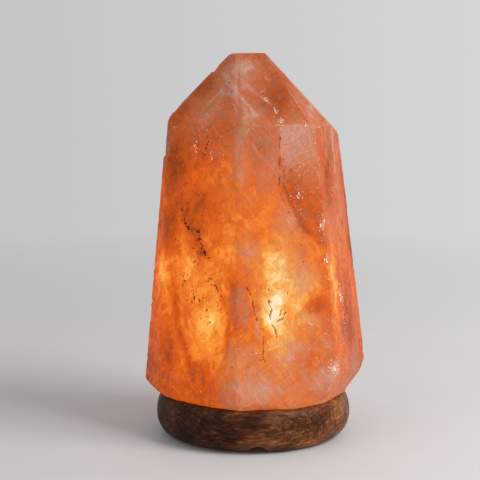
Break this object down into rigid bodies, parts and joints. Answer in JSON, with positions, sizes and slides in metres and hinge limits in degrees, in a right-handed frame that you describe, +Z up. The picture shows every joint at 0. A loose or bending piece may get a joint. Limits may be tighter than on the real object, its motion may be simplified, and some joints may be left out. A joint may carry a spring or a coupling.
{
  "type": "salt crystal lamp",
  "caption": "Table lamp of a hewn orange rock-salt block on a round dark wooden base, lit from inside by a screw-cap bulb in a holder that pulls out from below.",
  "frame": {"origin": "on the floor under the centre of the round base", "axes": "+Z up through the base, the bulb and the crystal; -Y is the front, where the lead groove shows; +X is the right-hand side seen from the front"},
  "size_m": [0.1446, 0.125, 0.2445],
  "materials": {
    "rock_salt": "translucent orange rock salt, worn and fractured, lit from inside",
    "stained_wood": "dark stain under satin lacquer",
    "pad_rubber": "matt",
    "zinc_steel": "zinc plated",
    "spring_steel": "satin",
    "nickel": "nickel plated",
    "anchor_plastic": "moulded",
    "holder_plastic": "moulded, satin",
    "white_ceramic": "unglazed",
    "brass": "pressed strip",
    "bulb_brass": "rolled thin sheet",
    "black_glass": "glossy",
    "solder": "soldered button",
    "bulb_glass": "clear blown glass",
    "stem_glass": "pressed glass",
    "lead_wire": "drawn wire",
    "tungsten": "glowing coil"
  },
  "bodies": {
    "lamp": {"salt_crystal": "rock_salt", "wooden_base": "stained_wood", "foot_pad_1": "pad_rubber", "foot_pad_2": "pad_rubber", "foot_pad_3": "pad_rubber", "foot_pad_4": "pad_rubber", "base_screw_1": "zinc_steel", "base_screw_2": "zinc_steel", "base_screw_3": "zinc_steel", "screw_anchor_1": "anchor_plastic", "screw_anchor_2": "anchor_plastic", "screw_anchor_3": "anchor_plastic"},
    "holder": {"stop_bar": "zinc_steel", "spring_clip": "spring_steel", "lead_nipple": "nickel", "nipple_nut": "nickel", "holder_cap": "holder_plastic", "holder_sleeve": "holder_plastic", "contact_carrier": "white_ceramic", "screw_shell": "brass", "centre_contact": "brass", "side_contact": "brass", "terminal_block_1": "brass", "terminal_block_2": "brass", "terminal_screw_1": "nickel", "terminal_screw_2": "nickel"},
    "bulb_base": {"bulb_insulator": "black_glass", "bulb_contact": "solder"},
    "bulb": {"bulb_cap": "bulb_brass", "bulb_glass": "bulb_glass", "bulb_stem": "stem_glass", "lead_wires": "lead_wire", "filament": "tungsten", "filament_support": "lead_wire"}
  },
  "joints": [
    {"name": "holder_pull", "type": "slide", "parent": "lamp", "child": "holder", "axis": [0, 0, -1], "range_m": [0, 0.13]},
    {"name": "bulb_rise", "type": "slide", "parent": "holder", "child": "bulb_base", "axis": [0, 0, 1], "range_m": [0, 0.01412]},
    {"name": "bulb_turn", "type": "hinge", "parent": "bulb_base", "child": "bulb", "pos_m": [0, 0, 0.058], "axis": [0, 0, 1], "range_deg": [0, 1800]}
  ],
  "couplings": [
    {"joint": "bulb_rise", "follows": "bulb_turn", "m_per_rad": 0.00044913}
  ]
}
